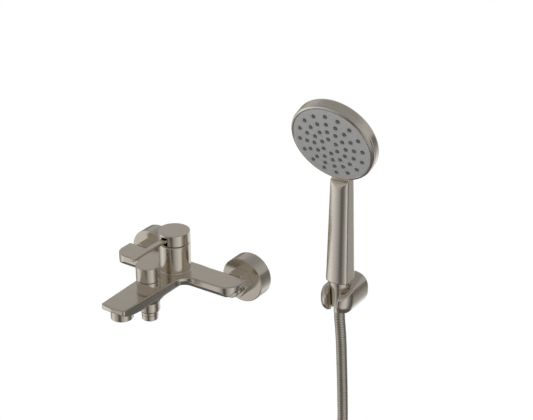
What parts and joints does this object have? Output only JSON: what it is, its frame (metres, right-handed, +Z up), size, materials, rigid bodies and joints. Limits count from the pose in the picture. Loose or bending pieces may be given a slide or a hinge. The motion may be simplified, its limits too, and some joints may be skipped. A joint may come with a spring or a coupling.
{
  "type": "wall mounted bath and shower mixer",
  "caption": "Wall mounted bath mixer with a flat spout, single lever, turning diverter, and a hand shower that hangs in a wall bracket on a coiled hose.",
  "frame": {"origin": "on the finished wall, midway between the hot and cold inlet axes", "axes": "+Y into the wall, +X towards the cold inlet, which is on the right as seen from the room, +Z up"},
  "size_m": [0.4451, 0.205, 0.6909],
  "materials": {
    "nickel_brass": "brushed nickel plating on brass",
    "plated_plastic": "brushed nickel plating on ABS",
    "raw_brass": "machined",
    "dark_plastic": "moulded, matt",
    "ceramic": "lapped alumina ceramic",
    "steel": "stainless, machined",
    "aerator_plastic": "moulded acetal",
    "spray_grey": "satin moulded face plate",
    "nozzle_rubber": "soft silicone",
    "black_rubber": "moulded EPDM",
    "hose_wrap": "double lock steel wrap in brushed nickel over a rubber hose"
  },
  "bodies": {
    "mixer": {"hot_wall_union": "raw_brass", "cold_wall_union": "raw_brass", "hot_flange": "nickel_brass", "cold_flange": "nickel_brass", "hot_union_nut": "nickel_brass", "cold_union_nut": "nickel_brass", "union_washers": "black_rubber", "hot_tailpiece": "raw_brass", "cold_tailpiece": "raw_brass", "mixer_body": "nickel_brass", "cartridge_seals": "black_rubber", "cartridge_base": "dark_plastic", "fixed_ceramic_disc": "ceramic", "cartridge_housing": "dark_plastic", "cartridge_nut": "raw_brass", "diverter_cartridge": "dark_plastic", "diverter_collar": "nickel_brass", "aerator_housing": "nickel_brass", "aerator_insert": "aerator_plastic", "aerator_washer": "black_rubber", "shower_outlet_nipple": "nickel_brass", "outlet_o_ring": "black_rubber", "bracket_body": "nickel_brass", "bracket_plate": "steel", "bracket_screws": "steel", "bracket_grub_screw": "steel"},
    "cap": {"handle_cap": "nickel_brass"},
    "lever_arm": {"lever": "nickel_brass", "lever_set_screw": "steel", "cartridge_spindle": "raw_brass"},
    "valve_disc": {"moving_ceramic_disc": "ceramic", "disc_carrier": "dark_plastic"},
    "diverter": {"diverter_spindle": "raw_brass", "diverter_knob": "nickel_brass", "diverter_set_screw": "steel"},
    "hose": {"hose_top_ferrule": "nickel_brass", "hose_tube": "hose_wrap", "hose_coil": "hose_wrap", "hose_tail": "hose_wrap", "hose_tie": "black_rubber", "hose_end_ferrule": "nickel_brass", "hose_end_nut": "nickel_brass"},
    "handset": {"handset_shell": "plated_plastic", "handset_face_ring": "plated_plastic", "spray_plate": "spray_grey", "spray_nozzles": "nozzle_rubber", "distribution_plate": "dark_plastic", "handset_inlet": "raw_brass", "handset_washer": "black_rubber", "hose_cone_nut": "nickel_brass"}
  },
  "joints": [
    {"name": "cap_turn", "type": "hinge", "parent": "mixer", "child": "cap", "pos_m": [0, -0.0642, 0.055], "axis": [0, 0, 1], "range_deg": [-45, 45]},
    {"name": "lever_tilt", "type": "hinge", "parent": "cap", "child": "lever_arm", "pos_m": [0, -0.0642, 0.04], "axis": [-1, 0, 0], "range_deg": [-12, 3]},
    {"name": "disc_slide", "type": "slide", "parent": "cap", "child": "valve_disc", "axis": [0, 1, 0], "range_m": [-0.0009, 0.0035]},
    {"name": "diverter_turn", "type": "hinge", "parent": "mixer", "child": "diverter", "pos_m": [0, -0.1187, 0.03], "axis": [0, 0, 1], "range_deg": [0, 90]},
    {"name": "handset_lift", "type": "slide", "parent": "mixer", "child": "hose", "axis": [0, -0.0175, 0.9998], "range_m": [0, 0.03]},
    {"name": "handset_turn", "type": "hinge", "parent": "hose", "child": "handset", "pos_m": [0.226, -0.0335, 0.052], "axis": [0, -0.0175, 0.9998], "range_deg": [-45, 45]}
  ],
  "couplings": [
    {"joint": "disc_slide", "follows": "lever_tilt", "m_per_rad": -0.016}
  ]
}
